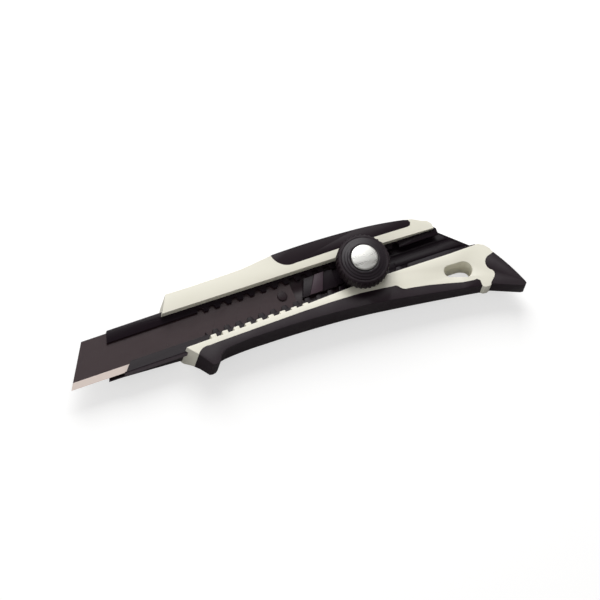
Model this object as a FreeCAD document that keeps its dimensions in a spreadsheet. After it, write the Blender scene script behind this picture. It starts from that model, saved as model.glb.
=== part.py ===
import FreeCAD, Part
import os
import re

import Sketcher

# Utility knife with a snap-off blade, a thumb dial that clamps the slider, and a
# moulded handle. Millimetres. The knife lies on its flat back: +Z is up towards the
# dial, +X runs to the tail and +Y to the spine. The origin is the foot of the dial's
# axis on the back plane, and Y = 0 is the centreline of the blade.

# ---------------------------------------------------------------- driving sizes
SIZES = {
    # blade
    "blade_width": 18, "blade_length": 100, "blade_sheet": 0.5, "blade_slant": 57,
    "bevel_width": 2.8, "edge_land": 0.04, "snap_pitch": 10, "snap_groove": 0.35,
    "snap_depth": 0.08, "tip_reach": 129, "pin_inset": 4.7, "pin_radius": 2.0,
    "pin_stem": 1.4, "pin_proud": 0.6,
    # steel rail
    "rail_sheet": 0.8, "rail_front": 106.0, "rail_toe": 6.6, "rail_rear": 35.8,
    "rail_heel": 12.2, "lip_front": 5.15, "lip_low": 4.45,
    "tooth_reach": 5.75, "notch_depth": 1.7, "notch_pitch": 5, "notch_mouth": 3.2,
    "notch_root": 2.0, "notch_start": 69, "stop_reach": 6.4, "stop_run": 17.0,
    "lip_rake": 2.0, "heel_cut": 3.0, "bead_height": 0.25, "bead_front": 15, "bead_high": 2.5,
    "bead_width": 1.0, "bead_gap": 3.4, "bead_slope": 0.97, "rail_bend": 0.6,
    # fits
    "fit_gap": 0.05, "running_gap": 0.1, "lip_gap": 0.15, "shoe_gap": 0.5,
    # casing heights
    "floor_height": 7.95, "arm_height": 15.8, "tail_height": 13.2, "fall_start": 4,
    "fall_end": 36, "grip_skin": 1.3, "floor_wall": 1.8, "core_pitch": 26,
    "core_run": 20, "core_gap": 6, "core_front": 74, "core_half": 8.0,
    # casing outline, spine side
    "casing_front": 84, "nose_rake": 5, "spine_nose": 5.05, "waist_run": 18,
    "spine_waist": 4.7, "shoulder_run": 38, "spine_shoulder": 4.85,
    "crest_at": 17, "spine_crest": 6.5, "back_at": 3, "spine_back": 5.5,
    "fall_at": 18, "spine_fall": 4.05, "casing_rear": 34.7, "spine_heel": 1.5,
    "heel_run": 2.7, "cover_front": 3.15, "cover_rear": 3.75,
    # casing outline, belly side
    "chin_lag": 4.3, "chin_rake": 3.5, "chin_drop": 3.35, "sill_front": 0.95,
    "sill_mid": 1.85, "sill_dial": 3.05, "sill_rear": 4.35, "sill_mid_at": 29,
    # finger hook and belly
    "hook_run": 11.6, "hook_drop": 9.45, "hook_toe": 3.5, "hook_heel": 0.7, "hook_back": 20.4,
    "belly_front": 4.75, "belly_waist": 4.1, "waist_at": 46, "belly_dial": 6.9,
    "belly_fall": 9.1, "belly_fall_at": 16, "belly_rear": 13.1, "grip_end": 43,
    # seams of the soft grips
    "seam_spine": 0.05, "seam_belly": 1.0, "seam_dial": 1.8,
    "seam_dial_at": 3, "seam_step_at": 10.5, "seam_step": 1.7, "seam_rear": 10.3,
    "seam_dip": 1.2, "seam_mid": 0.55, "seam_lag": 14.0, "seam_fall_at": 29.9,
    "seam_fall": 8.05, "step_run": 1.5, "top_front": 32, "top_rear": 27.5,
    "top_curve": 8.0, "top_end": 2.6, "top_round": 2.6, "spine_front": 6.35,
    # tail
    "tail_top": 47, "tail_top_drop": 5.5, "tail_shoulder": 49.8,
    "tail_end": 53.9, "tail_end_drop": 11.3, "tail_low": 47.5, "tail_low_drop": 23.8,
    "seam_waist": 49, "seam_waist_drop": 16, "fin_top": 54.8, "fin_top_drop": 10.5,
    "fin_mid": 58.8, "fin_mid_drop": 19, "fin_tip": 61.9, "fin_tip_drop": 27.4,
    "fin_toe": 59.6, "fin_toe_drop": 29.1, "fin_tang": 2.0, "tail_slope": 1.0,
    # how far cutting shapes reach past the piece they cut
    "cut_over": 5, "wedge_over": 5, "cut_across": 120,
    # lanyard hole
    "loop_front": 33.4, "loop_front_drop": 13.0, "loop_front_radius": 2.3,
    "loop_rear": 39.3, "loop_rear_drop": 14.1, "loop_rear_radius": 3.2,
    # nose support and rivets
    "support_front": 2.2, "support_nose": 6.8, "support_rear": 2.6, "support_inset": 0.6,
    "rivet_radius": 1.3, "rivet_head": 2.0, "rivet_depth": 4.2,
    "nose_rivet_depth": 1.8,
    # slider
    "plate_sheet": 1.35, "plate_front": 39, "plate_rear": 9.0, "plate_side": 0.1, "plate_corner": 1.0,
    "deck_front": 26.5, "deck_gap": 0.3, "stop_gap": 0.2, "deck_height": 2.0,
    "deck_neck": 11.0, "ramp_front": 23.4, "ramp_run": 5.5, "ramp_skew": 3.4,
    "ramp_rise": 0.6, "ramp_lean": 1.5, "spring_front": 27, "spring_run": 18, "spring_sheet": 0.35,
    "spring_gap": 0.4, "spring_width": 3.6,
    # stud, clamp shoe and dial
    "stud_radius": 2.5, "stud_flange": 5.0, "flange_sheet": 0.8, "stud_top": 22.9,
    "groove_radius": 2.0, "clip_sheet": 0.5, "clip_radius": 4.2, "clip_lead": 0.3,
    "shoe_half": 8.0, "shoe_corner": 1.5, "shoe_top": 16.3, "washer_sheet": 0.6, "washer_radius": 7.0,
    "nut_height": 4.0, "nut_radius": 5.2, "thread_pitch": 0.8, "knob_radius": 9.0,
    "cavity_radius": 4.6, "roof_sheet": 0.7, "knob_height": 6.4, "ring_step": 0.4,
    "ring_width": 1.1, "cap_radius": 5.5, "cap_sheet": 1.1, "cap_chamfer": 0.3,
    "rim_radius": 10.75, "rim_height": 6.0, "rim_round": 0.8, "scallop_radius": 0.65,
    "scallop_count": 36,
}

# Values worked out from the driving sizes, written in the sizes' names.
DERIVED = {
    "rail_edge": "blade_width / 2 + fit_gap + rail_sheet",
    "web_low": "floor_height + fit_gap",
    "web_top": "web_low + rail_sheet",
    "plate_low": "web_top + bead_height + running_gap",
    "plate_top": "plate_low + plate_sheet",
    "blade_face": "plate_top + blade_sheet",
    "lip_low_face": "blade_face + lip_gap",
    "lip_top_face": "lip_low_face + rail_sheet",
    "arm_low": "lip_top_face + fit_gap",
    "slant_run": "blade_width / tan(blade_slant * 1 deg)",
    "blade_rear": "blade_length - tip_reach",
    "pin_at": "blade_rear - pin_inset",
    "core_top": "tail_height - grip_skin",
    "dial_low": "shoe_top + washer_sheet + fit_gap",
    "nut_top": "dial_low + nut_height",
    "clip_low": "nut_top + thread_pitch + clip_lead",
    "cavity_top": "stud_top + clip_lead",
    "knob_top": "dial_low + knob_height",
    "cap_low": "cavity_top + roof_sheet",
    "shoe_side": "rail_edge - cover_rear - shoe_gap",
    "deck_half": "rail_edge - tooth_reach - deck_gap",
    "spring_inner": "deck_half + spring_gap",
    "deck_rear_half": "rail_edge - stop_reach - stop_gap",
    "nose_rivet": "(rail_front + casing_front) / 2",
    "seam_top": "rail_edge + seam_spine",
    "sill_low": "rail_edge - sill_front",
    "sill_rear_edge": "rail_edge - sill_rear",
    "tooth_root": "tooth_reach - notch_depth",
}


def formula(text):
    """Return text with every size as a reference to its cell in the sheet."""
    def expand(match):
        word = match.group(0)
        if word in DERIVED:
            return "(" + formula(DERIVED[word]) + ")"
        return "dims." + word if word in SIZES else word
    return re.sub(r"[a-z][a-z_]*[a-z]", expand, str(text))


doc = FreeCAD.newDocument("utility_knife")
sheet = doc.addObject("Spreadsheet::Sheet", "dims")
for row, (alias, size) in enumerate(SIZES.items(), start=1):
    sheet.set(f"A{row}", alias)
    sheet.set(f"B{row}", str(size))
    sheet.setAlias(f"B{row}", alias)
doc.recompute()


# ---------------------------------------------------------------- drawing helpers
def new_body(name):
    body = doc.addObject("PartDesign::Body", name)
    body.Label = name
    return body


def new_sketch(body, plane="XY_Plane", height="0"):
    """Return a sketch of the body on one of its origin planes, raised by height."""
    sketch = body.newObject("Sketcher::SketchObject", body.Name + "_sketch")
    support = next(f for f in body.Origin.OriginFeatures if f.Role == plane)
    sketch.AttachmentSupport = [(support, "")]
    sketch.MapMode = "FlatFace"
    sketch.setExpression(".AttachmentOffset.Base.z", formula(height))
    doc.recompute()
    return sketch


def place(sketch, geometry, position, x, y):
    """Fix one point of a sketch at the formulas x and y."""
    for kind, text in (("DistanceX", x), ("DistanceY", y)):
        value = float(sketch.evalExpression(formula(text)))
        index = sketch.addConstraint(Sketcher.Constraint(kind, -1, 1, geometry, position, value))
        sketch.setExpression(f"Constraints[{index}]", formula(text))


def draw(sketch, path):
    """Draw a closed loop: (x, y) ends a line, (through_x, through_y, x, y) an arc."""
    def vector(x, y):
        return FreeCAD.Vector(float(sketch.evalExpression(formula(x))),
                              float(sketch.evalExpression(formula(y))), 0)

    edges = []
    corners = [step[-2:] for step in path]
    for number, step in enumerate(path):
        start, end = corners[number - 1], corners[number]
        first, last = vector(*start), vector(*end)
        if len(step) == 2:
            edge = sketch.addGeometry(Part.LineSegment(first, last), False)
            edges.append((edge, 1, 2))
            continue
        through = vector(*step[:2])
        edge = sketch.addGeometry(Part.Arc(first, through, last), False)
        forward = sketch.getPoint(edge, 1).distanceToPoint(first) < 1e-6
        edges.append((edge, 1, 2) if forward else (edge, 2, 1))
        point = sketch.addGeometry(Part.Point(through), True)
        sketch.addConstraint(Sketcher.Constraint("PointOnObject", point, 1, edge))
        place(sketch, point, 1, *step[:2])
    for number, (edge, start, end) in enumerate(edges):
        following, head, _ = edges[(number + 1) % len(edges)]
        sketch.addConstraint(Sketcher.Constraint("Coincident", edge, end, following, head))
        place(sketch, edge, end, *corners[number])


def draw_circle(sketch, radius, x="0", y="0"):
    centre = FreeCAD.Vector(float(sketch.evalExpression(formula(x))),
                            float(sketch.evalExpression(formula(y))), 0)
    size = float(sketch.evalExpression(formula(radius)))
    edge = sketch.addGeometry(Part.Circle(centre, FreeCAD.Vector(0, 0, 1), size), False)
    place(sketch, edge, 3, x, y)
    index = sketch.addConstraint(Sketcher.Constraint("Radius", edge, size))
    sketch.setExpression(f"Constraints[{index}]", formula(radius))


def rectangle(x_low, y_low, x_high, y_high):
    return [(x_low, y_low), (x_high, y_low), (x_high, y_high), (x_low, y_high)]


def pad(body, sketch, length, midplane=False):
    feature = body.newObject("PartDesign::Pad", body.Name + "_pad")
    feature.Profile = sketch
    feature.setExpression("Length", formula(length))
    feature.Midplane = midplane
    doc.recompute()
    return feature


def pocket(body, sketch, length, rising=False, midplane=False):
    """Cut the sketch into the body, downwards unless rising, and see that it cuts."""
    before = body.Shape.Volume
    feature = body.newObject("PartDesign::Pocket", body.Name + "_pocket")
    feature.Profile = sketch
    feature.setExpression("Length", formula(length))
    feature.Reversed = rising
    feature.Midplane = midplane
    doc.recompute()
    if body.Shape.Volume > before - 1e-6:
        raise RuntimeError(f"{feature.Name} of {body.Label} cuts nothing")
    return feature


def repeat(body, feature, pitch, count):
    """Repeat a feature along X at the given pitch."""
    pattern = body.newObject("PartDesign::LinearPattern", body.Name + "_pattern")
    pattern.Originals = [feature]
    axis = next(f for f in body.Origin.OriginFeatures if f.Role == "X_Axis")
    pattern.Direction = (axis, [""])
    pattern.setExpression("Length", formula(f"({pitch}) * ({count} - 1)"))
    pattern.Occurrences = count
    body.Tip = pattern
    doc.recompute()
    return pattern


def revolve(body, sketch):
    feature = body.newObject("PartDesign::Revolution", body.Name + "_turn")
    feature.Profile = sketch
    feature.ReferenceAxis = (sketch, ["V_Axis"])
    feature.Angle = 360
    doc.recompute()
    return feature


def is_upright(edge):
    """True for a straight edge along Z."""
    first, last = edge.Vertexes[0].Point, edge.Vertexes[-1].Point
    return abs(first.x - last.x) + abs(first.y - last.y) < 1e-6 < abs(first.z - last.z)


def round_edges(body, radius, test):
    """Round those edges of the body's tip that pass the test."""
    tip = body.Tip
    picked = [f"Edge{i}" for i, edge in enumerate(tip.Shape.Edges, start=1) if test(edge)]
    feature = body.newObject("PartDesign::Fillet", body.Name + "_fillet")
    feature.Base = (tip, picked)
    feature.setExpression("Radius", formula(radius))
    doc.recompute()
    return feature


# ---------------------------------------------------------------- handle outline
# Corners of the handle seen from above. Spine side, from the nose to the tail.
NOSE_LOW = ("-casing_front", "rail_edge - cover_front")
NOSE_TOP = ("-casing_front + nose_rake", "rail_edge + spine_nose")
WAIST = ("-casing_front + nose_rake + waist_run", "rail_edge + spine_waist")
SHOULDER = ("-casing_front + shoulder_run", "rail_edge + spine_shoulder")
TOP_FRONT = ("-top_front", "rail_edge + spine_front")
CREST = ("-crest_at", "rail_edge + spine_crest")
BACK = ("back_at", "rail_edge + spine_back")
FALL = ("fall_at", "rail_edge + spine_fall")
TOP_REAR = ("top_rear", "rail_edge + top_end")
HEEL = ("casing_rear - heel_run", "rail_edge + spine_heel")
HEEL_LOW = ("casing_rear", "rail_edge - cover_rear")
# Tail and belly side, from the tail back to the chin.
TAIL_TOP = ("tail_top", "-tail_top_drop")
TAIL_SHOULDER = ("tail_shoulder", "-tail_top_drop - tail_slope")
TAIL_END = ("tail_end", "-tail_end_drop")
SEAM_WAIST = ("seam_waist", "-seam_waist_drop")
TAIL_LOW = ("tail_low", "-tail_low_drop")
GRIP_END = ("grip_end", "-rail_edge - belly_rear")
BELLY_FALL = ("belly_fall_at", "-rail_edge - belly_fall")
BELLY_DIAL = ("0", "-rail_edge - belly_dial")
BELLY_WAIST = ("-waist_at", "-rail_edge - belly_waist")
BELLY_FRONT = ("-casing_front + hook_back", "-rail_edge - belly_front")
HOOK_BACK = ("-casing_front + hook_run + hook_toe", "-rail_edge - hook_drop + hook_heel")
HOOK_TIP = ("-casing_front + hook_run", "-rail_edge - hook_drop")
CHIN_LOW = ("-casing_front + chin_lag + chin_rake", "-rail_edge - chin_drop")
CHIN = ("-casing_front + chin_lag", "-rail_edge + sill_front")
# Seam between the casing and the lower grip, from the tail to the chin.
SEAM_REAR = ("grip_end", "-rail_edge - seam_rear")
SEAM_FALL = ("seam_fall_at", "-rail_edge - seam_fall")
SEAM_STEP = ("seam_step_at + step_run", "-rail_edge - seam_dial - seam_dip - seam_step")
SEAM_STEP_TOP = ("seam_step_at", "-rail_edge - seam_dial - seam_dip")
SEAM_DIAL = ("seam_dial_at", "-rail_edge - seam_dial")
SEAM_MID = ("-sill_mid_at", "-rail_edge - seam_mid")
SEAM_FRONT = ("-casing_front + seam_lag", "-rail_edge - seam_belly")
# Seam between the casing and the top grip.
TOP_SEAM_FRONT = ("-top_front + top_curve", "seam_top")
TOP_SEAM_BEND = ("-top_front + top_curve / 4", "rail_edge + spine_front / 3")
TOP_SEAM_REAR = ("top_rear - top_round", "seam_top")
TOP_SEAM_TURN = ("top_rear - top_round / 4", "seam_top + top_round / 4")


def cut_falling_top(body):
    """Lower the front faces in one straight fall from the arms to the tail."""
    sketch = new_sketch(body, "XZ_Plane")
    draw(sketch, [("fall_start", "arm_height"), ("fall_end", "tail_height"),
                  ("fin_tip + wedge_over", "tail_height"),
                  ("fin_tip + wedge_over", "arm_height + wedge_over"),
                  ("fall_start", "arm_height + wedge_over")])
    pocket(body, sketch, "cut_across", midplane=True)


# ---------------------------------------------------------------- handle
def top_core(skin):
    """Tang of the casing inside the top grip, set in from the grip by skin."""
    return [(f"-top_front + top_curve + {skin}", "seam_top - fit_gap"),
            (f"-top_front + top_curve + {skin}", f"rail_edge + spine_crest - 2 * {skin}"),
            ("-crest_at + back_at", f"rail_edge + spine_crest - {skin}",
             "back_at", f"rail_edge + spine_back - {skin}"),
            (f"top_rear - top_round - 2 * {skin}", f"rail_edge + top_end - {skin}"),
            (f"top_rear - top_round - 2 * {skin}", "seam_top - fit_gap")]


def lower_core(skin):
    """Tang of the casing inside the lower grip."""
    return [("-casing_front + hook_back", "-rail_edge"),
            ("-casing_front + hook_back", f"-rail_edge - belly_waist + {skin}"),
            ("-waist_at", f"-rail_edge - belly_waist + {skin}"),
            ("0", f"-rail_edge - belly_dial + {skin}"),
            ("belly_fall_at", f"-rail_edge - belly_fall + {skin}"),
            ("seam_fall_at", f"-rail_edge - seam_fall - {skin}"),
            ("seam_fall_at", "-rail_edge - seam_mid"),
            ("-sill_mid_at", "-rail_edge")]


def fin_core(skin):
    """Tang of the casing inside the tail fin."""
    return [("tail_shoulder", "-tail_end_drop - fin_tang"),
            ("tail_end", "-tail_end_drop - fin_tang"),
            (f"fin_mid - 2 * {skin}", "-fin_mid_drop"),
            (f"fin_tip - 2 * {skin}", f"-fin_tip_drop + {skin}"),
            (f"fin_toe - {skin}", f"-fin_toe_drop + 2 * {skin}"),
            ("tail_low", "-tail_low_drop + fin_tang")]


def cut_tang(body, path):
    """Cut the casing's tang out of a grip."""
    sketch = new_sketch(body, height="grip_skin")
    draw(sketch, path)
    pocket(body, sketch, "core_top - grip_skin", rising=True)


casing = new_body("casing")
outline = new_sketch(casing)
draw(outline, [
    NOSE_LOW, NOSE_TOP, WAIST + SHOULDER, TOP_FRONT, TOP_SEAM_BEND + TOP_SEAM_FRONT,
    TOP_SEAM_REAR, TOP_SEAM_TURN + TOP_REAR, HEEL, HEEL_LOW, TAIL_TOP, TAIL_SHOULDER,
    TAIL_END, SEAM_WAIST + TAIL_LOW, GRIP_END, SEAM_REAR, SEAM_FALL, SEAM_STEP,
    SEAM_STEP_TOP, SEAM_DIAL, SEAM_MID, SEAM_FRONT, CHIN_LOW, CHIN,
])
pad(casing, outline, "arm_height")
for tang in (top_core, lower_core, fin_core):
    tang_sketch = new_sketch(casing, height="grip_skin")
    draw(tang_sketch, tang("grip_skin"))
    pad(casing, tang_sketch, "core_top - grip_skin")
cut_falling_top(casing)

# The rail lies in a closed channel, and the trough above it is open between the arms.
channel = new_sketch(casing, height="floor_height")
draw(channel, rectangle("-casing_front - cut_over", "-rail_edge - fit_gap",
                        "rail_rear + rail_heel + fit_gap", "rail_edge + fit_gap"))
pocket(casing, channel, "arm_low - floor_height", rising=True)
trough = new_sketch(casing, height="arm_low")
draw(trough, [
    ("-casing_front - cut_over", "-sill_low"), ("-casing_front + chin_lag", "-sill_low"),
    ("-sill_mid_at", "-rail_edge + sill_mid"), ("0", "-rail_edge + sill_dial"),
    TAIL_TOP, ("tail_top", "rail_edge - cover_rear"), HEEL_LOW,
    NOSE_LOW, ("-casing_front - cut_over", "rail_edge - cover_front"),
])
pocket(casing, trough, "arm_height", rising=True)

# Hollows under the rail lighten the floor and leave ribs for the rivets.
hollow = new_sketch(casing, height="floor_height")
draw(hollow, rectangle("-core_front", "-core_half", "-core_front + core_run", "core_half"))
repeat(casing, pocket(casing, hollow, "floor_height - floor_wall"), "core_pitch", 4)
RIVET_PLACES = ["-core_front - core_gap / 2 + core_pitch * " + str(n) for n in (1, 2, 3)]
rivet_bores = new_sketch(casing, height="floor_height")
for place_x in RIVET_PLACES:
    draw_circle(rivet_bores, "rivet_radius", place_x)
pocket(casing, rivet_bores, "rivet_depth")

# The lanyard hole is wider towards the fin.
lanyard = new_sketch(casing, height="tail_height")
draw(lanyard, [
    ("loop_front", "-loop_front_drop + loop_front_radius"),
    ("loop_front - loop_front_radius", "-loop_front_drop",
     "loop_front", "-loop_front_drop - loop_front_radius"),
    ("loop_rear", "-loop_rear_drop - loop_rear_radius"),
    ("loop_rear + loop_rear_radius", "-loop_rear_drop",
     "loop_rear", "-loop_rear_drop + loop_rear_radius"),
])
pocket(casing, lanyard, "tail_height + cut_over")

top_grip = new_body("top_grip")
outline = new_sketch(top_grip)
draw(outline, [
    TOP_SEAM_BEND + TOP_FRONT, CREST + BACK, FALL + TOP_REAR,
    TOP_SEAM_TURN + TOP_SEAM_REAR, TOP_SEAM_FRONT,
])
pad(top_grip, outline, "arm_height")
cut_falling_top(top_grip)
cut_tang(top_grip, top_core("grip_skin"))

lower_grip = new_body("lower_grip")
outline = new_sketch(lower_grip)
draw(outline, [
    CHIN_LOW, SEAM_FRONT, SEAM_MID, SEAM_DIAL, SEAM_STEP_TOP, SEAM_STEP, SEAM_FALL,
    SEAM_REAR, GRIP_END, BELLY_FALL + BELLY_DIAL, BELLY_WAIST, BELLY_FRONT, HOOK_BACK,
    HOOK_TIP,
])
pad(lower_grip, outline, "arm_height")
cut_falling_top(lower_grip)
cut_tang(lower_grip, lower_core("grip_skin"))

tail_fin = new_body("tail_fin")
outline = new_sketch(tail_fin)
draw(outline, [
    SEAM_WAIST + TAIL_END, ("fin_top", "-fin_top_drop"),
    ("fin_mid", "-fin_mid_drop", "fin_tip", "-fin_tip_drop"),
    ("fin_toe", "-fin_toe_drop"), TAIL_LOW,
])
pad(tail_fin, outline, "tail_height")
cut_tang(tail_fin, fin_core("grip_skin"))

# ---------------------------------------------------------------- rail
# A folded steel channel: web, two side walls, and lips that hold the blade down.
RAIL_END = "rail_rear + rail_heel"
blade_rail = new_body("blade_rail")
web = new_sketch(blade_rail, height="web_low")
draw(web, [
    ("-rail_front - rail_toe", "-rail_edge"), ("-rail_front", "rail_edge - lip_front"),
    ("-rail_front", "rail_edge"), ("rail_rear - heel_cut", "rail_edge"),
    ("rail_rear", "rail_edge - cover_rear"), (RAIL_END, "-sill_rear_edge"),
    (RAIL_END, "-rail_edge"),
])
pad(blade_rail, web, "rail_sheet")
walls = new_sketch(blade_rail, height="web_low")
draw(walls, rectangle("-rail_front", "rail_edge - rail_sheet", "rail_rear - heel_cut", "rail_edge"))
draw(walls, rectangle("-rail_front", "-rail_edge", RAIL_END, "-rail_edge + rail_sheet"))
pad(blade_rail, walls, "lip_top_face - web_low")


def bead_end(y):
    """Where a bead at height y meets the slanted rear edge of the web."""
    return f"rail_rear + (rail_edge - cover_rear - ({y})) * bead_slope - bead_width"


# Two stamped beads stiffen the web behind the dial, just under the slider plate.
beads = new_sketch(blade_rail, height="web_top")
for top, width in (("bead_high", "bead_width"), ("bead_high - bead_gap", "2 * bead_width")):
    draw(beads, [("bead_front", f"{top} - {width}"), (bead_end(f"{top} - {width}"), f"{top} - {width}"),
                 (bead_end(top), top), ("bead_front", top)])
pad(blade_rail, beads, "bead_height")


def is_bend(edge):
    """True for an outer edge along the rail, where the sheet is folded."""
    edge_y = float(web.evalExpression(formula("rail_edge")))
    heights = [float(web.evalExpression(formula(level))) for level in ("web_low", "lip_top_face")]
    return all(abs(abs(v.Point.y) - edge_y) < 1e-6 and
               min(abs(v.Point.z - level) for level in heights) < 1e-6
               for v in edge.Vertexes) and not is_upright(edge)


LIP_RUN = "-notch_start"
upper_lip = new_sketch(blade_rail, height="lip_low_face")
draw(upper_lip, [
    ("-rail_front", "rail_edge"), ("-rail_front - lip_rake", "rail_edge - lip_front"),
    (LIP_RUN, "rail_edge - lip_front"), (LIP_RUN, "rail_edge - tooth_reach"),
    ("rail_rear - stop_run", "rail_edge - tooth_reach"),
    ("rail_rear - stop_run", "rail_edge - stop_reach"),
    ("rail_rear", "rail_edge - stop_reach"), ("rail_rear", "rail_edge - cover_rear"),
    ("rail_rear - heel_cut", "rail_edge"),
])
draw(upper_lip, [
    ("-rail_front", "-rail_edge"), ("-rail_front + 2 * lip_rake", "-rail_edge + lip_low"),
    (LIP_RUN, "-rail_edge + lip_low"), (LIP_RUN, "-rail_edge + tooth_reach"),
    ("rail_rear", "-rail_edge + tooth_reach"), (RAIL_END, "-sill_rear_edge"),
    (RAIL_END, "-rail_edge"),
])
pad(blade_rail, upper_lip, "rail_sheet")


def notch(side):
    """One notch in the edge of a lip, narrower at its root."""
    edge, root = f"{side} * (rail_edge - tooth_reach)", f"{side} * (rail_edge - tooth_root)"
    return [("-notch_start", edge), ("-notch_start + notch_mouth", edge),
            ("-notch_start + notch_mouth / 2 + notch_root / 2", root),
            ("-notch_start + notch_mouth / 2 - notch_root / 2", root)]


notches = new_sketch(blade_rail, height="lip_top_face")
draw(notches, notch("1"))
draw(notches, notch("-1"))
first_notches = pocket(blade_rail, notches, "rail_sheet + lip_gap / 2")
repeat(blade_rail, first_notches, "notch_pitch", 18)
round_edges(blade_rail, "rail_bend", is_bend)
rail_bores = new_sketch(blade_rail, height="web_top")
for place_x in RIVET_PLACES + ["-nose_rivet"]:
    draw_circle(rail_bores, "rivet_head", place_x)
pocket(blade_rail, rail_bores, "rail_sheet")

# Tapered plastic nose that backs the rail in front of the casing.
nose_support = new_body("nose_support")
plan = new_sketch(nose_support)
draw(plan, [
    ("-rail_front - support_front", "-rail_edge + support_inset"),
    ("-casing_front + chin_lag - running_gap", "-rail_edge + support_inset"),
    ("-casing_front + chin_lag - running_gap", "-sill_low"),
    ("-casing_front - running_gap", "rail_edge - cover_front"),
    ("-casing_front - running_gap", "rail_edge - support_inset"),
    ("-rail_front + support_front", "rail_edge - support_inset"),
])
pad(nose_support, plan, "floor_height")
under = new_sketch(nose_support, "XZ_Plane")
draw(under, [
    ("-rail_front - support_front - cut_over", "-cut_over"),
    ("-casing_front + chin_lag + cut_over", "-cut_over"),
    ("-casing_front + chin_lag + cut_over", "support_rear"),
    ("-casing_front + chin_lag", "support_rear"),
    ("-rail_front - support_front", "support_nose"),
    ("-rail_front - support_front - cut_over", "support_nose"),
])
pocket(nose_support, under, "cut_across", midplane=True)
nose_bore = new_sketch(nose_support, height="floor_height")
draw_circle(nose_bore, "rivet_radius", "-nose_rivet")
pocket(nose_support, nose_bore, "floor_height")


def cylinder(name, radius, low, height, x="0", y="0"):
    """An upright round piece from the height low."""
    piece = doc.addObject("Part::Cylinder", name)
    piece.setExpression("Radius", formula(radius))
    piece.setExpression("Height", formula(height))
    for axis, text in (("x", x), ("y", y), ("z", low)):
        piece.setExpression(f".Placement.Base.{axis}", formula(text))
    return piece


def fuse(name, *pieces):
    union = doc.addObject("Part::MultiFuse", name)
    union.Label = name
    union.Shapes = list(pieces)
    return union


def cut(name, base, tool):
    result = doc.addObject("Part::Cut", name)
    result.Label = name
    result.Base, result.Tool = base, tool
    return result


def group(name, pieces):
    union = doc.addObject("Part::Compound", name)
    union.Label = name
    union.Links = pieces
    return union


def rivet(number, x, depth):
    head = cylinder(f"rivet_head_{number}", "rivet_head", "web_low", "rail_sheet", x)
    stem = cylinder(f"rivet_stem_{number}", "rivet_radius", f"web_low - ({depth})", depth, x)
    return fuse(f"rivet_{number}", head, stem)


rail_rivets = group("rail_rivets", [rivet(n, x, "rivet_depth")
                                    for n, x in enumerate(RIVET_PLACES, start=1)]
                    + [rivet(0, "-nose_rivet", "nose_rivet_depth")])

# ---------------------------------------------------------------- blade and slider
blade = new_body("blade")
blade_plan = new_sketch(blade, height="plate_top")
draw(blade_plan, [
    ("-tip_reach", "-blade_width / 2"), ("blade_rear", "-blade_width / 2"),
    ("blade_rear", "blade_width / 2"), ("-tip_reach + slant_run", "blade_width / 2"),
])
pad(blade, blade_plan, "blade_sheet")
bevels = new_sketch(blade, "YZ_Plane", "-tip_reach - cut_over")
EDGE, BEVEL_IN = "-blade_width / 2", "-blade_width / 2 + bevel_width"
BLADE_MID = "plate_top + blade_sheet / 2"
for side, face in (("1", "blade_face"), ("-1", "plate_top")):
    draw(bevels, [
        (BEVEL_IN, face), (EDGE, f"{BLADE_MID} + {side} * edge_land / 2"),
        (f"{EDGE} - cut_over", f"{BLADE_MID} + {side} * edge_land / 2"),
        (f"{EDGE} - cut_over", f"{face} + {side} * cut_over"),
        (BEVEL_IN, f"{face} + {side} * cut_over"),
    ])
pocket(blade, bevels, "blade_length + 2 * cut_over", rising=True)
score = new_sketch(blade, height="blade_face")
draw(score, [
    ("-tip_reach + snap_pitch", "-blade_width / 2"),
    ("-tip_reach + snap_pitch + snap_groove", "-blade_width / 2"),
    ("-tip_reach + snap_pitch + snap_groove + slant_run", "blade_width / 2"),
    ("-tip_reach + snap_pitch + slant_run", "blade_width / 2"),
])
repeat(blade, pocket(blade, score, "snap_depth"), "snap_pitch", 8)
pin_bore = new_sketch(blade, height="blade_face")
draw_circle(pin_bore, "pin_radius + fit_gap", "pin_at")
pocket(blade, pin_bore, "blade_sheet")

PLATE_HALF = "blade_width / 2 - plate_side"
slider_plate = new_body("slider_plate")
plan = new_sketch(slider_plate, height="plate_low")
draw(plan, rectangle("-plate_front", f"-({PLATE_HALF})", "plate_rear", PLATE_HALF))
pad(slider_plate, plan, "plate_sheet")
round_edges(slider_plate, "plate_corner", is_upright)
plate_bores = new_sketch(slider_plate, height="plate_low")
draw_circle(plate_bores, "pin_stem", "pin_at")
draw_circle(plate_bores, "stud_radius")
pocket(slider_plate, plate_bores, "plate_sheet", rising=True)
flange_seat = new_sketch(slider_plate, height="plate_low")
draw_circle(flange_seat, "stud_flange")
pocket(slider_plate, flange_seat, "flange_sheet", rising=True)

blade_pin = fuse("blade_pin",
                 cylinder("pin_stem_piece", "pin_stem", "plate_low", "plate_sheet", "pin_at"),
                 cylinder("pin_head_piece", "pin_radius", "plate_top",
                          "blade_sheet + pin_proud", "pin_at"))

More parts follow.
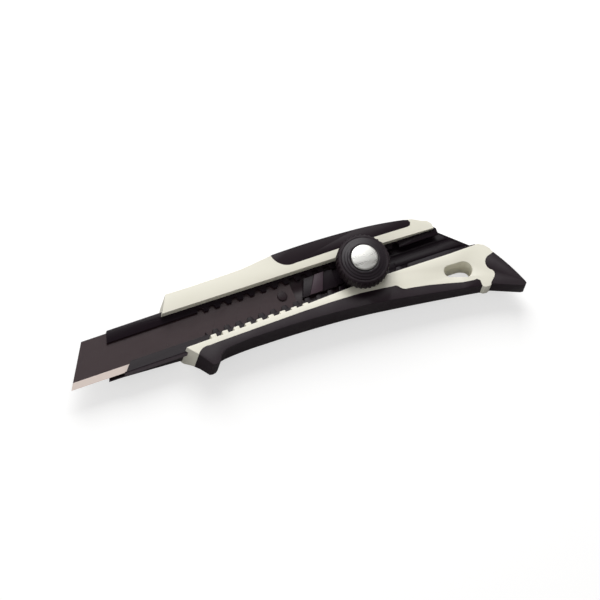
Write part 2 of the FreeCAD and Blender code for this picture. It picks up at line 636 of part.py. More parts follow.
# The deck stands on the plate behind the blade and fills the slot between the lips.
slider_body = new_body("slider_body")
deck = new_sketch(slider_body, height="plate_top")
draw(deck, [
    ("-deck_front", "-deck_half"), ("-deck_neck", "-deck_half"),
    ("-deck_neck", "-deck_rear_half"), ("plate_rear", "-deck_rear_half"),
    ("plate_rear", "deck_rear_half"), ("-deck_neck", "deck_rear_half"),
    ("-deck_neck", "deck_half"), ("-deck_front + ramp_skew", "deck_half"),
])
pad(slider_body, deck, "lip_top_face - running_gap - plate_top")
raised = new_sketch(slider_body, height="plate_top")
draw(raised, [
    ("-deck_front", "-deck_half"), ("-deck_neck", "-deck_half"),
    ("-deck_neck", "deck_half"), ("-deck_front + ramp_skew", "deck_half"),
])
pad(slider_body, raised, "deck_height")
ramp = new_sketch(slider_body, height="plate_top + deck_height")
draw(ramp, [
    ("-ramp_front", "-deck_half"), ("-ramp_front + ramp_run", "-deck_half"),
    ("-ramp_front + ramp_run + ramp_skew", "deck_half"),
    ("-ramp_front + ramp_skew + ramp_lean", "deck_half"),
])
pad(slider_body, ramp, "ramp_rise")
stud_bore = new_sketch(slider_body, height="plate_top")
draw_circle(stud_bore, "stud_radius")
pocket(slider_body, stud_bore, "deck_height", rising=True)

click_spring = new_body("click_spring")
leaf = new_sketch(click_spring, height="plate_top")
draw(leaf, [
    ("-spring_front", "-spring_inner"), ("-spring_front", "-spring_inner - spring_width"),
    ("-spring_front + spring_run", "-spring_inner - spring_width"),
    ("-spring_front + spring_run", "-spring_inner"),
])
pad(click_spring, leaf, "spring_sheet")
finger_slot = new_sketch(click_spring, height="plate_top")
draw(finger_slot, rectangle("-spring_front + spring_width", "-spring_inner - spring_width * 2 / 3",
                            "-spring_front + spring_run + cut_over",
                            "-spring_inner - spring_width / 2"))
pocket(click_spring, finger_slot, "spring_sheet", rising=True)

# ---------------------------------------------------------------- stud, clamp and dial
lock_stud = new_body("lock_stud")
profile = new_sketch(lock_stud, "XZ_Plane")
draw(profile, [
    ("0", "plate_low"), ("stud_flange", "plate_low"),
    ("stud_flange", "plate_low + flange_sheet"), ("stud_radius", "plate_low + flange_sheet"),
    ("stud_radius", "clip_low"), ("groove_radius", "clip_low"),
    ("groove_radius", "clip_low + clip_sheet"), ("stud_radius", "clip_low + clip_sheet"),
    ("stud_radius", "stud_top"), ("0", "stud_top"),
])
revolve(lock_stud, profile)

stud_clip = cut("stud_clip",
                cylinder("clip_disc", "clip_radius", "clip_low", "clip_sheet"),
                cylinder("clip_bore", "groove_radius", "clip_low", "clip_sheet"))

clamp_shoe = new_body("clamp_shoe")
shoe = new_sketch(clamp_shoe, height="lip_top_face + fit_gap / 2")
draw(shoe, rectangle("-shoe_half", "-shoe_side", "shoe_half", "shoe_side"))
pad(clamp_shoe, shoe, "shoe_top - lip_top_face - fit_gap / 2")
round_edges(clamp_shoe, "shoe_corner", is_upright)
shoe_bore = new_sketch(clamp_shoe, height="shoe_top")
draw_circle(shoe_bore, "stud_radius + running_gap")
pocket(clamp_shoe, shoe_bore, "shoe_top - lip_top_face")

wave_washer = cut("wave_washer",
                  cylinder("washer_disc", "washer_radius", "shoe_top", "washer_sheet"),
                  cylinder("washer_bore", "stud_radius + running_gap", "shoe_top",
                           "washer_sheet"))

dial_nut = cut("dial_nut",
               cylinder("nut_barrel", "nut_radius", "dial_low", "nut_height"),
               cylinder("nut_bore", "stud_radius + fit_gap", "dial_low", "nut_height"))

# The knob narrows towards its cap in two low rings.
RING_ONE, RING_TWO = "knob_top + ring_step", "knob_top + 2 * ring_step"
dial_knob = new_body("dial_knob")
profile = new_sketch(dial_knob, "XZ_Plane")
draw(profile, [
    ("nut_radius", "dial_low"), ("knob_radius", "dial_low"), ("knob_radius", "knob_top"),
    ("knob_radius - ring_width", "knob_top"), ("knob_radius - ring_width", RING_ONE),
    ("knob_radius - 2 * ring_width", RING_ONE), ("knob_radius - 2 * ring_width", RING_TWO),
    ("cap_radius + running_gap", RING_TWO), ("cap_radius + running_gap", "cap_low"),
    ("0", "cap_low"), ("0", "cavity_top"), ("cavity_radius", "cavity_top"),
    ("cavity_radius", "nut_top"), ("nut_radius", "nut_top"),
])
revolve(dial_knob, profile)

dial_cap = new_body("dial_cap")
profile = new_sketch(dial_cap, "XZ_Plane")
draw(profile, [
    ("0", "cap_low"), ("cap_radius", "cap_low"),
    ("cap_radius", "cap_low + cap_sheet - cap_chamfer"),
    ("cap_radius - cap_chamfer", "cap_low + cap_sheet"), ("0", "cap_low + cap_sheet"),
])
revolve(dial_cap, profile)

# Soft ring round the knob, with scallops for the thumb.
dial_grip_ring = new_body("dial_grip_ring")
profile = new_sketch(dial_grip_ring, "XZ_Plane")
draw(profile, [
    ("knob_radius", "dial_low"), ("rim_radius - rim_round", "dial_low"),
    ("rim_radius", "dial_low + rim_round"), ("rim_radius", "dial_low + rim_height - rim_round"),
    ("rim_radius - rim_round", "dial_low + rim_height"), ("knob_radius", "dial_low + rim_height"),
])
revolve(dial_grip_ring, profile)
scallop = new_sketch(dial_grip_ring, height="dial_low")
draw_circle(scallop, "scallop_radius", "rim_radius + scallop_radius / 4")
first_scallop = pocket(dial_grip_ring, scallop, "rim_height", rising=True)
scallops = dial_grip_ring.newObject("PartDesign::PolarPattern", "scallops")
scallops.Originals = [first_scallop]
scallops.Axis = (scallop, ["N_Axis"])
scallops.Angle = 360
scallops.setExpression("Occurrences", formula("scallop_count"))
dial_grip_ring.Tip = scallops
doc.recompute()

# ---------------------------------------------------------------- check and export
PARTS = [
    casing, top_grip, lower_grip, tail_fin, blade_rail, nose_support, rail_rivets,
    blade, slider_plate, blade_pin, slider_body, click_spring, lock_stud, stud_clip,
    clamp_shoe, wave_washer, dial_nut, dial_knob, dial_cap, dial_grip_ring,
]
doc.recompute()
for item in doc.Objects:
    if {"Invalid", "Error"} & set(item.State):
        raise RuntimeError(f"{item.Label} failed: {item.State}")
os.makedirs("parts", exist_ok=True)
for sub_part in PARTS:
    shape = sub_part.Shape
    if shape.isNull() or not shape.isValid():
        raise RuntimeError(f"{sub_part.Label} has no valid shape")
    shape.exportStep(f"parts/{sub_part.Label}.step")
    print(sub_part.Label, len(shape.Solids), round(shape.Volume, 2))
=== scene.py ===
import math

import bmesh
import bpy
from mathutils import Matrix, Vector


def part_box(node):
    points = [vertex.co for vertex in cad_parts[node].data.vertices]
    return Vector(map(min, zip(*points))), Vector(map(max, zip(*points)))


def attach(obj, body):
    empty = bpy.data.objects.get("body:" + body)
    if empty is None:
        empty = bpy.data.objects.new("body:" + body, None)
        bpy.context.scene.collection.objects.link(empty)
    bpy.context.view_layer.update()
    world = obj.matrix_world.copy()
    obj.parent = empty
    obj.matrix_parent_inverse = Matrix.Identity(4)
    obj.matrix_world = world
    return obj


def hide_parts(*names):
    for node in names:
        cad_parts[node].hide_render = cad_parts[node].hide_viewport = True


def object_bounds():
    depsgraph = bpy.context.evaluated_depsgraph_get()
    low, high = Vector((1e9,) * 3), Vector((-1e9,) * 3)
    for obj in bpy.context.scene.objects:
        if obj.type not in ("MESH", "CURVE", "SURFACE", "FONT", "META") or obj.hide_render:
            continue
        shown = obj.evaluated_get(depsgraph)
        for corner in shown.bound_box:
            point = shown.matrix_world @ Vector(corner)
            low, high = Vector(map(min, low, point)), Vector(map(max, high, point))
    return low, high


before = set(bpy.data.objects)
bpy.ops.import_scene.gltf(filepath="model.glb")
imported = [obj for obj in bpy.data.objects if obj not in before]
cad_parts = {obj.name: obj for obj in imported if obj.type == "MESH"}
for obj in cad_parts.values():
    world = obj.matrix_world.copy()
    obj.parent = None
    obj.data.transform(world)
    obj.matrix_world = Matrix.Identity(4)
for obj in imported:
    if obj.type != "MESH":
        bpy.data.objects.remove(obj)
cad_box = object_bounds()
mm = 0.001

# ------------------------------------------------------------------ view and table
# The knife lies on its flat back on a pale table. The camera looks down on the dial,
# a little from the chin and the blade's tip, through a long lens.
look_from = Vector((-0.27, -0.30, 0.914)).normalized()
tilt = math.radians(18.75)
aim = Vector((-27.56, -3.79, 11.0)) * mm
view_width = 600 / 2.517 * mm
lens, sensor = 1200, 36

right_flat = Vector((0, look_from.z, -look_from.y)).cross(look_from).normalized()
up_flat = look_from.cross(right_flat)
right = right_flat * math.cos(tilt) - up_flat * math.sin(tilt)
up = right_flat * math.sin(tilt) + up_flat * math.cos(tilt)
camera_data = bpy.data.cameras.new("camera")
camera_data.lens, camera_data.sensor_width = lens, sensor
camera = bpy.data.objects.new("camera", camera_data)
distance = view_width * lens / sensor
place = Matrix((right, up, look_from)).transposed().to_4x4()
place.translation = aim + look_from * distance
camera.matrix_world = place
camera_data.clip_end = 20
bpy.context.scene.collection.objects.link(camera)
bpy.context.scene.camera = camera

scene = bpy.context.scene
scene.view_settings.view_transform = "Standard"

world = bpy.data.worlds.new("studio")
scene.world = world
world.use_nodes = True
world.node_tree.nodes["Background"].inputs["Color"].default_value = (1.0, 0.98, 0.96, 1)
world.node_tree.nodes["Background"].inputs["Strength"].default_value = 0.28


def softbox(name, towards, size, power):
    """A square lamp that shines on the knife from the side given."""
    light = bpy.data.lights.new(name, "AREA")
    light.shape, light.size, light.energy = "SQUARE", size, power
    lamp = bpy.data.objects.new(name, light)
    spot = aim + Vector(towards).normalized() * 0.9
    lamp.matrix_world = Matrix.Translation(spot) @ (aim - spot).to_track_quat("-Z", "Y").to_matrix().to_4x4()
    scene.collection.objects.link(lamp)


softbox("key_light", (0.1, 0.75, 0.75), 0.7, 8.0)
softbox("fill_light", (-0.9, -0.2, 0.5), 0.8, 1.6)

bpy.ops.mesh.primitive_plane_add(size=6, location=(0, 0, cad_box[0].z - 0.00005))
table = bpy.context.object
table.name = "table"
table_finish = bpy.data.materials.new("table_finish")
table_finish.use_nodes = True
nodes, links = table_finish.node_tree.nodes, table_finish.node_tree.links
nodes["Principled BSDF"].inputs["Base Color"].default_value = (0.5, 0.5, 0.5, 1)
nodes["Principled BSDF"].inputs["Roughness"].default_value = 0.9
nodes["Principled BSDF"].inputs["Specular IOR Level"].default_value = 0.0
nodes["Principled BSDF"].inputs["Emission Color"].default_value = (1, 1, 1, 1)
ray = nodes.new("ShaderNodeLightPath")
seen = nodes.new("ShaderNodeMath")
seen.operation = "MAXIMUM"
links.new(ray.outputs["Is Camera Ray"], seen.inputs[0])
links.new(ray.outputs["Is Transmission Ray"], seen.inputs[1])
lift = nodes.new("ShaderNodeMath")
lift.operation = "MULTIPLY"
lift.inputs[1].default_value = 0.6
links.new(seen.outputs["Value"], lift.inputs[0])
links.new(lift.outputs["Value"], nodes["Principled BSDF"].inputs["Emission Strength"])
table.data.materials.append(table_finish)


# ------------------------------------------------------------------ moulded handle
# One moulding of cream plastic holds the rail between two arms and swells over the spine
# for the palm. The real one has well-rounded outer edges; here they are left almost sharp.
shell_low, shell_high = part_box("casing")
rail_low, rail_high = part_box("blade_rail")
nose, edge = shell_low.x / mm, rail_high.y / mm
arm_top, tail_top = shell_high.z / mm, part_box("tail_fin")[1].z / mm
fall_start, fall_end = 4, 36            # the face falls from the arms to the tail here
chin = nose + 4.3
arm_round, back_round, corner_round = 3.2, 2.4, 1.1


def trace(path, step=3.0):
    """Plan outline in millimetres: (x, y) ends a line, (through_x, through_y, x, y) an arc."""
    points = []
    for number, stop in enumerate(path):
        start, end = Vector(path[number - 1][-2:]), Vector(stop[-2:])
        if len(stop) == 4:
            through = Vector(stop[:2])
            a, b = through - start, end - start
            turn = 2 * (a.x * b.y - a.y * b.x)
            middle = start + Vector((b.y * a.length_squared - a.y * b.length_squared,
                                     a.x * b.length_squared - b.x * a.length_squared)) / turn
            spoke, swing = start - middle, (start - middle).angle_signed(end - middle)
            if turn * swing > 0:
                swing -= math.copysign(2 * math.pi, swing)
            count = max(3, round(abs(swing) * spoke.length / step))
            for k in range(1, count):
                angle = -swing * k / count
                points.append(middle + Matrix.Rotation(angle, 2) @ spoke)
        points.append(end)
    return points


def face_height(x):
    """Height of the handle's face at a station, in millimetres."""
    fall = min(max((x - fall_start) / (fall_end - fall_start), 0), 1)
    return arm_top + (tail_top - arm_top) * fall


def new_piece(name, bm):
    mesh = bpy.data.meshes.new(name)
    bm.to_mesh(mesh)
    bm.free()
    piece = bpy.data.objects.new(name, mesh)
    scene.collection.objects.link(piece)
    return piece


def prism(name, path, low, high, step=3.0):
    """Upright block over a plan outline, all in millimetres."""
    bm = bmesh.new()
    loop = trace(path, step)
    base = bm.faces.new([bm.verts.new((p.x * mm, p.y * mm, low * mm)) for p in loop])
    raised = bmesh.ops.extrude_face_region(bm, geom=[base])["geom"]
    for vert in raised:
        if isinstance(vert, bmesh.types.BMVert):
            vert.co.z = high * mm
    bmesh.ops.recalc_face_normals(bm, faces=bm.faces)
    return new_piece(name, bm)


def applied(piece):
    """Turn a piece with its modifiers into a plain mesh."""
    graph = bpy.context.evaluated_depsgraph_get()
    mesh = bpy.data.meshes.new_from_object(piece.evaluated_get(graph))
    piece.modifiers.clear()
    old, piece.data = piece.data, mesh
    bpy.data.meshes.remove(old)
    return piece


def carve(piece, tool, operation="DIFFERENCE", keep_tool=False):
    """Cut, join or keep what the tool covers."""
    modifier = piece.modifiers.new("carve", "BOOLEAN")
    modifier.operation, modifier.object, modifier.solver = operation, tool, "EXACT"
    applied(piece)
    if not keep_tool:
        bpy.data.objects.remove(tool)
    return piece


def weigh(piece, weight_of):
    """Give each edge the bevel weight that weight_of(edge) returns."""
    bm = bmesh.new()
    bm.from_mesh(piece.data)
    bm.normal_update()
    layer = bm.edges.layers.float.get("bevel_weight_edge")
    layer = layer or bm.edges.layers.float.new("bevel_weight_edge")
    for e in bm.edges:
        e[layer] = weight_of(e) if len(e.link_faces) == 2 else 0
    bm.to_mesh(piece.data)
    bm.free()


def rounded(piece, width, segments=4, clamp=False):
    modifier = piece.modifiers.new("round", "BEVEL")
    modifier.limit_method, modifier.width, modifier.segments = "WEIGHT", width * mm, segments
    modifier.use_clamp_overlap = clamp
    modifier.miter_outer = "MITER_ARC"
    return applied(piece)


def smooth(piece, angle=32):
    for face in piece.data.polygons:
        face.use_smooth = True
    piece.data.set_sharp_from_angle(angle=math.radians(angle))


handle_outline = [
    (nose, edge - 3.15), (nose + 5, edge + 5.05),
    (nose + 23, edge + 4.7, nose + 38, edge + 4.85),
    (-32, edge + 6.3), (-17, edge + 6.3, 3, edge + 5.35), (18, edge + 4.0, 27.5, edge + 2.5),
    (31.2, edge + 0.5), (34.4, edge - 1.6, 34.6, edge - 3.75),
    (48.6, -6.1), (50.8, -7.4, 53.2, -11.6),
    (57.1, -19.0, 60.4, -27.0), (60.4, -28.5, 58.9, -28.7), (47.5, -23.8),
    (46.6, -24.3, 43.2, -23.2),
    (16, -edge - 9.1, 0, -edge - 6.9), (-23, -edge - 4.85, nose + 38, -edge - 4.1),
    (nose + 27, -edge - 4.2, nose + 20.4, -edge - 4.75),
    (nose + 17.0, -edge - 6.0, nose + 15.1, -edge - 8.75),
    (nose + 13.6, -edge - 9.6, nose + 11.6, -edge - 9.45),
    (nose + 7.8, -edge - 3.35), (chin, -edge + 0.95),
]


# The back is flat under the rail and rises like a hull towards the fingers and the fin.
belly_hull = [(-9.9, 0), (-12.5, 2.3), (-15.5, 4.2), (-23, 5.8), (-40, 6.6)]


def hull_cutter():
    """Long bar with the hull's section, (y, z) in millimetres, that cuts the back away."""
    section = [(-9.9, -5)] + belly_hull + [(-40, -5)]
    bm = bmesh.new()
    base = bm.faces.new([bm.verts.new((nose * 2 * mm, y * mm, z * mm)) for y, z in section])
    drawn_out = bmesh.ops.extrude_face_region(bm, geom=[base])["geom"]
    for vert in drawn_out:
        if isinstance(vert, bmesh.types.BMVert):
            vert.co.x = -nose * 2 * mm
    bmesh.ops.recalc_face_normals(bm, faces=bm.faces)
    return new_piece("hull_cutter", bm)


def handle_weight(e):
    """Rounding asked for at an outer edge: wide on the arms, small at corners and the hook."""
    up_faces = [f for f in e.link_faces if abs(f.normal.z) > 0.6]
    spot = (e.verts[0].co + e.verts[1].co) / 2 / mm
    if len(up_faces) == 2:
        return 0
    if not up_faces:
        sharp = e.calc_face_angle(0) > math.radians(25)
        return corner_round / arm_round if sharp else 0
    radius = arm_round if spot.z > arm_top / 2 else back_round
    if spot.x < nose + 6 or spot.x < nose + 19 and spot.y < 0:
        radius = min(radius, 1.4)
    if spot.x > 30:
        radius = min(radius, 2.0 if spot.y < -12 or spot.x > 47 else 1.2)
    return radius / arm_round


def handle_form(name):
    """The whole handle as one form. The clamp on overlaps leaves its rounding close to nothing."""
    form = prism(name, handle_outline, 0, arm_top)
    bm = bmesh.new()
    bm.from_mesh(form.data)
    for station in (fall_start, fall_end):
        geometry = bm.verts[:] + bm.edges[:] + bm.faces[:]
        bmesh.ops.bisect_plane(bm, geom=geometry, plane_co=(station * mm, 0, 0), plane_no=(1, 0, 0))
    for vert in bm.verts:
        if vert.co.z > arm_top * mm / 2:
            vert.co.z = face_height(vert.co.x / mm) * mm
    bm.to_mesh(form.data)
    bm.free()
    carve(form, hull_cutter())
    weigh(form, handle_weight)
    return rounded(form, arm_round, 6, clamp=True)


def surface(name, colour, roughness, metallic=0.0, gloss=0.5):
    """A material, with its node tree and its shader."""
    material = bpy.data.materials.new(name)
    material.use_nodes = True
    shader = material.node_tree.nodes["Principled BSDF"]
    shader.inputs["Base Color"].default_value = (*colour, 1)
    shader.inputs["Roughness"].default_value = roughness
    shader.inputs["Metallic"].default_value = metallic
    shader.inputs["Specular IOR Level"].default_value = gloss
    return material, material.node_tree, shader


def object_pattern(tree, scale, detail=2.0, stretch=(1, 1, 1)):
    """Noise in the piece's own coordinates, scale in cells per metre."""
    place_on = tree.nodes.new("ShaderNodeTexCoord")
    mapping = tree.nodes.new("ShaderNodeMapping")
    mapping.inputs["Scale"].default_value = stretch
    noise = tree.nodes.new("ShaderNodeTexNoise")
    noise.inputs["Scale"].default_value = scale
    noise.inputs["Detail"].default_value = detail
    tree.links.new(place_on.outputs["Object"], mapping.inputs["Vector"])
    tree.links.new(mapping.outputs["Vector"], noise.inputs["Vector"])
    return noise


def own_place(tree):
    """A point's X, Y and Z in the piece's own coordinates."""
    place_on = tree.nodes.new("ShaderNodeTexCoord")
    split = tree.nodes.new("ShaderNodeSeparateXYZ")
    tree.links.new(place_on.outputs["Object"], split.inputs["Vector"])
    return split


def vary(tree, factor, low, high, socket):
    """Spread a factor from low to high and feed it to a shader's socket."""
    spread = tree.nodes.new("ShaderNodeMapRange")
    spread.inputs["From Min"].default_value = 0.3
    spread.inputs["From Max"].default_value = 0.7
    spread.inputs["To Min"].default_value = low
    spread.inputs["To Max"].default_value = high
    tree.links.new(factor, spread.inputs["Value"])
    tree.links.new(spread.outputs["Result"], socket)


def blend_colours(tree, factor, low, high, socket):
    """Mix two colours by a factor into a shader's colour."""
    mix = tree.nodes.new("ShaderNodeMix")
    mix.data_type = "RGBA"
    mix.inputs["A"].default_value, mix.inputs["B"].default_value = (*low, 1), (*high, 1)
    tree.links.new(factor, mix.inputs["Factor"])
    tree.links.new(mix.outputs["Result"], socket)


def emboss(tree, shader, height, strength, depth):
    """Fine relief from a height pattern, depth in metres."""
    bump = tree.nodes.new("ShaderNodeBump")
    bump.inputs["Strength"].default_value = strength
    bump.inputs["Distance"].default_value = depth
    tree.links.new(height, bump.inputs["Height"])
    tree.links.new(bump.outputs["Normal"], shader.inputs["Normal"])


cream_plastic, tree, shader = surface("cream_plastic", (0.80, 0.78, 0.68), 0.38)
mottle = object_pattern(tree, 45, 3)
blend_colours(tree, mottle.outputs["Fac"], (0.77, 0.75, 0.63), (0.83, 0.81, 0.71),
              shader.inputs["Base Color"])
spark = object_pattern(tree, 2600, 2)
vary(tree, mottle.outputs["Fac"], 0.33, 0.46, shader.inputs["Roughness"])
emboss(tree, shader, spark.outputs["Fac"], 0.25, 0.00003)

# Openings of the moulding: the rail's channel, the trough between the arms, and the
# lanyard hole. Plan outlines in millimetres, as for the handle.
floor_level, lip_level = rail_low.z / mm - 0.05, rail_high.z / mm + 0.05
channel = [(nose - 5, -edge - 0.05), (rail_high.x / mm + 0.05, -edge - 0.05),
           (rail_high.x / mm + 0.05, edge + 0.05), (nose - 5, edge + 0.05)]
trough = [(nose - 5, -edge + 0.95), (chin, -edge + 0.95), (-29, -edge + 1.85),
          (0, -edge + 3.05), (48.6, -6.1), (48.6, edge - 3.75), (34.6, edge - 3.75),
          (nose, edge - 2.1), (nose - 5, edge - 2.1)]
lanyard_hole = [(33.4, -10.7), (31.0, -13.3, 33.4, -16.0), (39.3, -18.0),
                (42.6, -14.5, 39.3, -10.9)]

# Seams of the soft grips, drawn past the outline so that each takes its whole corner.
spine_seam = [(-33.5, edge + 12), (-32.6, edge + 7.3), (-30.6, edge + 2.2, -24.6, edge + 0.2),
              (24.6, edge + 0.05), (26.3, edge + 1.5, 24.6, edge + 2.9), (15.5, edge + 6.6),
              (14, edge + 12)]
belly_seam = [(-79.5, -15.6), (-76.9, -14.9), (-75.3, -12.4, -70.5, -11.2), (-66, -11.0),
              (-29.2, -10.4), (-16, -10.5), (-5, -10.9), (8.6, -12.4),
              (10.3, -12.6, 11.2, -13.7), (12.4, -14.7, 14.4, -15.1), (22.9, -16.4),
              (29.9, -17.9), (36.8, -19.5), (41.2, -20.1), (43.1, -20.4, 43.4, -22.2),
              (43.2, -30), (-79.5, -30)]
fin_seam = [(56.5, -9.6), (53.6, -11.5), (51.4, -12.1), (48.4, -15.1, 49.1, -17.6),
            (50.4, -19.6, 49.6, -21.4), (47.5, -23.3), (46.4, -26.5), (60, -34), (70, -34),
            (70, -9)]


def seam_block(name, path):
    return prism(name, path, -3, arm_top + 3, step=1.2)


def seam_weight(e):
    """Rounding asked for along a grip's seam, where a side wall meets the skin."""
    walls = [f for f in e.link_faces if abs(f.normal.z) < 0.02]
    spot = (e.verts[0].co + e.verts[1].co) / 2 / mm
    return 1.0 if len(walls) == 1 and e.calc_face_angle(0) > 0.5 and spot.z > 1 else 0


def rim_weight(e):
    """Rounding asked for at the arms' inner edges and the lanyard hole's rims."""
    if max(abs(f.normal.z) for f in e.link_faces) < 0.85 or e.calc_face_angle(0) < 0.9:
        return 0
    spot = (e.verts[0].co + e.verts[1].co) / 2 / mm
    hole = 30.5 < spot.x < 43.0 and -17.9 < spot.y < -10.3
    if hole:
        return 0.6 if spot.z > 6 else 0.4
    inside = abs(spot.y) < edge - 0.4 and spot.x < 47.5 and spot.z > lip_level + 0.3
    return 1.0 if inside else 0


shell = handle_form("handle_shell")
carve(shell, prism("channel", channel, floor_level, lip_level))
carve(shell, prism("trough", trough, floor_level + 1, arm_top + 3))
carve(shell, prism("hole", lanyard_hole, -3, arm_top + 3, step=0.5))
for name, path in (("spine", spine_seam), ("belly", belly_seam), ("fin", fin_seam)):
    carve(shell, seam_block(name + "_cutter", path))
weigh(shell, rim_weight)
rounded(shell, 1.2, 3, clamp=True)
shell.data.materials.clear()
shell.data.materials.append(cream_plastic)
smooth(shell)
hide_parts("casing")
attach(shell, "handle")

# ------------------------------------------------------------------ ribs of the moulding
# Ribs moulded with the casing: white keys on the lower arm stand in the rail's notches
# and stop it from creeping, and fine steps on the spine hold the finger that steadies it.


def rib_row(name, count, pitch, start, rib_size, edge_round):
    """A row of equal ribs along the knife, in millimetres, as one plain mesh."""
    group = bpy.data.node_groups.new(name + "_nodes", "GeometryNodeTree")
    ports = {}
    for label, kind in (("Count", "NodeSocketInt"), ("Offset", "NodeSocketVector"),
                        ("Start", "NodeSocketVector"), ("Rib Size", "NodeSocketVector"),
                        ("Material", "NodeSocketMaterial")):
        ports[label] = group.interface.new_socket(label, in_out="INPUT", socket_type=kind).identifier
    group.interface.new_socket("Geometry", in_out="OUTPUT", socket_type="NodeSocketGeometry")
    given, result = group.nodes.new("NodeGroupInput"), group.nodes.new("NodeGroupOutput")
    line = group.nodes.new("GeometryNodeMeshLine")
    rib = group.nodes.new("GeometryNodeMeshCube")
    copies = group.nodes.new("GeometryNodeInstanceOnPoints")
    solid = group.nodes.new("GeometryNodeRealizeInstances")
    coat = group.nodes.new("GeometryNodeSetMaterial")
    for source, target in ((given.outputs["Count"], line.inputs["Count"]),
                           (given.outputs["Offset"], line.inputs["Offset"]),
                           (given.outputs["Start"], line.inputs["Start Location"]),
                           (given.outputs["Rib Size"], rib.inputs["Size"]),
                           (given.outputs["Material"], coat.inputs["Material"]),
                           (line.outputs["Mesh"], copies.inputs["Points"]),
                           (rib.outputs["Mesh"], copies.inputs["Instance"]),
                           (copies.outputs["Instances"], solid.inputs["Geometry"]),
                           (solid.outputs["Geometry"], coat.inputs["Geometry"]),
                           (coat.outputs["Geometry"], result.inputs["Geometry"])):
        group.links.new(source, target)
    row = new_piece(name, bmesh.new())
    modifier = row.modifiers.new("ribs", "NODES")
    modifier.node_group = group
    modifier[ports["Count"]] = count
    modifier[ports["Offset"]] = (pitch * mm, 0.0, 0.0)
    modifier[ports["Start"]] = [c * mm for c in start]
    modifier[ports["Rib Size"]] = [c * mm for c in rib_size]
    modifier[ports["Material"]] = cream_plastic
    applied(row)
    weigh(row, lambda e: 1.0)
    rounded(row, edge_round, 2, clamp=True)
    smooth(row, 40)
    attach(row, "handle")


key_low, key_high = lip_level, arm_top - 0.3
rib_row("rail_keys", 9, 5, (-67.4, -edge + 1.6, (key_low + key_high) / 2),
        (2.4, 2.4, key_high - key_low), 0.3)
rib_row("spine_steps", 9, 2.2, (-66, edge + 4.15, 9.0), (1.1, 1.9, 12.4), 0.25)

# ------------------------------------------------------------------ soft grips
# Black elastomer moulded over the casing: a pad for the thumb on the spine, a grip with
# a finger guard along the belly, and a fin on the tail that scrapes and pries.
grip_rubber, tree, shader = surface("grip_rubber", (0.012, 0.006, 0.010), 0.5, gloss=0.2)
pores = object_pattern(tree, 1900, 3)
wear = object_pattern(tree, 60, 2)
blend_colours(tree, wear.outputs["Fac"], (0.010, 0.005, 0.008), (0.018, 0.010, 0.015),
              shader.inputs["Base Color"])
vary(tree, wear.outputs["Fac"], 0.42, 0.6, shader.inputs["Roughness"])
emboss(tree, shader, pores.outputs["Fac"], 0.5, 0.00005)

grip_lift, seam_round = 0.12, 0.3       # how far a grip stands proud, and its rounded seam
for name, node, path in (("spine_grip", "top_grip", spine_seam),
                         ("belly_grip", "lower_grip", belly_seam),
                         ("tail_guard", "tail_fin", fin_seam)):
    grip = handle_form(name)
    carve(grip, seam_block(name + "_cutter", path), "INTERSECT")
    weigh(grip, seam_weight)
    rounded(grip, seam_round, 2, clamp=True)
    for vert in grip.data.vertices:
        push = vert.normal * grip_lift * mm
        vert.co += push if vert.co.z > 0.4 * mm else Vector((push.x, push.y, 0))
    grip.data.materials.clear()
    grip.data.materials.append(grip_rubber)
    smooth(grip)
    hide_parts(node)
    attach(grip, "handle")

# ------------------------------------------------------------------ rail and its nose
# The rail is folded from steel sheet and coated black, and a paler band is painted along
# its folds as a highlight. A tapered plastic nose backs its front end.


def softened(node, name, width, material, body, angle=30, segments=2):
    """A finished copy of a CAD node, its sharp edges broken as far as short edges allow."""
    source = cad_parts[node]
    bm = bmesh.new()
    bm.from_mesh(source.data)
    bmesh.ops.remove_doubles(bm, verts=bm.verts, dist=1e-6)
    bmesh.ops.dissolve_limit(bm, angle_limit=math.radians(1.5), verts=bm.verts, edges=bm.edges)
    piece = new_piece(name, bm)
    limit = math.radians(angle)
    weigh(piece, lambda e: 1.0 if e.calc_face_angle(0) > limit else 0)
    rounded(piece, width, segments, clamp=True)
    piece.data.materials.clear()
    piece.data.materials.append(material)
    smooth(piece, 40)
    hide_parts(node)
    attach(piece, body)
    return piece


rail_coat, tree, shader = surface("rail_coat", (0.008, 0.005, 0.008), 0.4, gloss=0.1)
orange_peel = object_pattern(tree, 900, 2)
scuffs = object_pattern(tree, 70, 4, stretch=(0.15, 1, 1))
vary(tree, scuffs.outputs["Fac"], 0.25, 0.45, shader.inputs["Roughness"])
off_centre = tree.nodes.new("ShaderNodeMath")
off_centre.operation = "ABSOLUTE"
tree.links.new(own_place(tree).outputs["Y"], off_centre.inputs[0])
# Painted highlight: the coat is coloured paler in a band along the rail's outer folds, where the bends catch
# the light.
painted_fold_highlight = tree.nodes.new("ShaderNodeMapRange")
painted_fold_highlight.inputs["From Min"].default_value = (edge - 0.5) * mm
painted_fold_highlight.inputs["From Max"].default_value = (edge - 0.1) * mm
painted_fold_highlight.inputs["To Max"].default_value = 0.55
tree.links.new(off_centre.outputs["Value"], painted_fold_highlight.inputs["Value"])
blend_colours(tree, painted_fold_highlight.outputs["Result"], (0.009, 0.005, 0.008), (0.16, 0.13, 0.15),
              shader.inputs["Base Color"])
emboss(tree, shader, orange_peel.outputs["Fac"], 0.3, 0.00003)
softened("blade_rail", "rail", 0.16, rail_coat, "handle")

nose_plastic, tree, shader = surface("nose_plastic", (0.010, 0.006, 0.009), 0.5, gloss=0.2)
emboss(tree, shader, object_pattern(tree, 1500, 2).outputs["Fac"], 0.4, 0.00004)
softened("nose_support", "rail_nose", 0.4, nose_plastic, "handle")

bright_steel, tree, shader = surface("bright_steel", (0.55, 0.54, 0.54), 0.3, 1.0)
lines = object_pattern(tree, 700, 2, stretch=(0.06, 1, 1))
vary(tree, lines.outputs["Fac"], 0.24, 0.42, shader.inputs["Roughness"])
softened("rail_rivets", "rivets", 0.15, bright_steel, "handle")

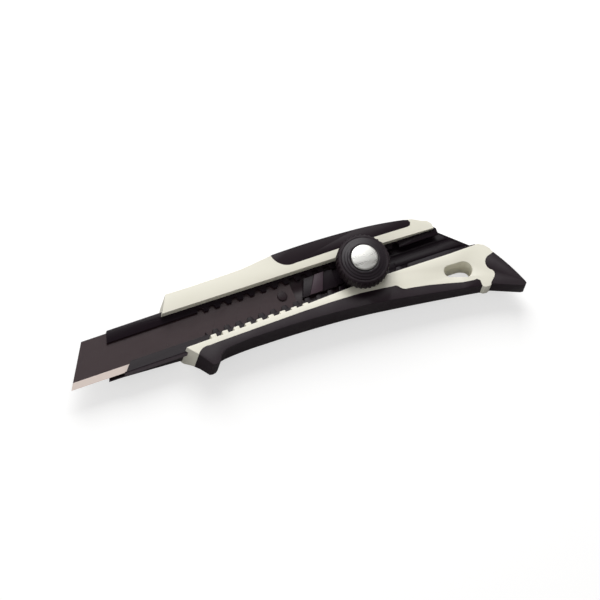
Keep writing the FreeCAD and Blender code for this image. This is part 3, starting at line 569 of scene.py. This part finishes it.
# ------------------------------------------------------------------ blade
# A snap-off blade of hardened carbon steel, coated black-brown, with its edge ground
# bright and scored across for breaking.
bevel_width = 2.8
bevel_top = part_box("blade")[0].y + bevel_width * mm
coated_blade, tree, shader = surface("coated_blade", (0.030, 0.014, 0.017), 0.42, gloss=0.3)
ground = tree.nodes.new("ShaderNodeMath")
ground.operation = "LESS_THAN"
ground.inputs[1].default_value = bevel_top
tree.links.new(own_place(tree).outputs["Y"], ground.inputs[0])
satin = object_pattern(tree, 500, 3, stretch=(0.4, 1, 1))
blend_colours(tree, ground.outputs["Value"], (0.026, 0.011, 0.014), (0.72, 0.62, 0.57),
              shader.inputs["Base Color"])
vary(tree, satin.outputs["Fac"], 0.34, 0.48, shader.inputs["Roughness"])
emboss(tree, shader, satin.outputs["Fac"], 0.15, 0.00002)
blade_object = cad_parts["blade"]
blade_object.data.materials.clear()
blade_object.data.materials.append(coated_blade)

# ------------------------------------------------------------------ slider
# The plate carries the blade's pin and runs under the lips. The deck stands on it
# behind the blade; its ramp is the push for the thumb, and its top is painted paler as a highlight.
slide_steel, tree, shader = surface("slide_steel", (0.02, 0.012, 0.015), 0.4, gloss=0.15)
vary(tree, object_pattern(tree, 300, 2).outputs["Fac"], 0.28, 0.42, shader.inputs["Roughness"])
softened("slider_plate", "slide_plate", 0.12, slide_steel, "slider")
softened("click_spring", "click_leaf", 0.06, slide_steel, "slider")
softened("blade_pin", "pin", 0.25, slide_steel, "slider", segments=3)
softened("lock_stud", "stud", 0.15, bright_steel, "slider")
softened("stud_clip", "clip", 0.08, bright_steel, "slider")

ramp_highlight_depth = 0.3                         # the painted highlight on the ramp starts this far below its top
ramp_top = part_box("slider_body")[1].z
slider_plastic, tree, shader = surface("slider_plastic", (0.010, 0.006, 0.009), 0.45, gloss=0.2)
# Painted highlight: the slider body's top is coloured paler, as if the ramp faced the light.
raised = tree.nodes.new("ShaderNodeMath")
raised.operation = "GREATER_THAN"
raised.inputs[1].default_value = ramp_top - ramp_highlight_depth * mm
tree.links.new(own_place(tree).outputs["Z"], raised.inputs[0])
blend_colours(tree, raised.outputs["Value"], (0.010, 0.006, 0.009), (0.045, 0.028, 0.038),
              shader.inputs["Base Color"])
emboss(tree, shader, object_pattern(tree, 1500, 2).outputs["Fac"], 0.3, 0.00004)
softened("slider_body", "thumb_deck", 0.18, slider_plastic, "slider")

# ------------------------------------------------------------------ clamp and dial
# Turning the dial draws the shoe down on the lips. The knob is turned in rings towards
# a bare metal cap, and a scalloped soft ring runs round it.
softened("clamp_shoe", "shoe", 0.3, nose_plastic, "clamp")
softened("wave_washer", "washer", 0.1, bright_steel, "clamp")
softened("dial_nut", "insert", 0.1, bright_steel, "dial")

dial_plastic, tree, shader = surface("dial_plastic", (0.012, 0.007, 0.011), 0.38, gloss=0.3)
emboss(tree, shader, object_pattern(tree, 1500, 2).outputs["Fac"], 0.3, 0.00004)
softened("dial_knob", "knob", 0.15, dial_plastic, "dial")
softened("dial_grip_ring", "knurl", 0.2, grip_rubber, "dial")
cap_metal, tree, shader = surface("cap_metal", (0.50, 0.50, 0.48), 0.3, 1.0)
vary(tree, object_pattern(tree, 600, 3, stretch=(0.1, 1, 1)).outputs["Fac"], 0.22, 0.4,
     shader.inputs["Roughness"])
softened("dial_cap", "cap", 0.2, cap_metal, "dial", segments=3)
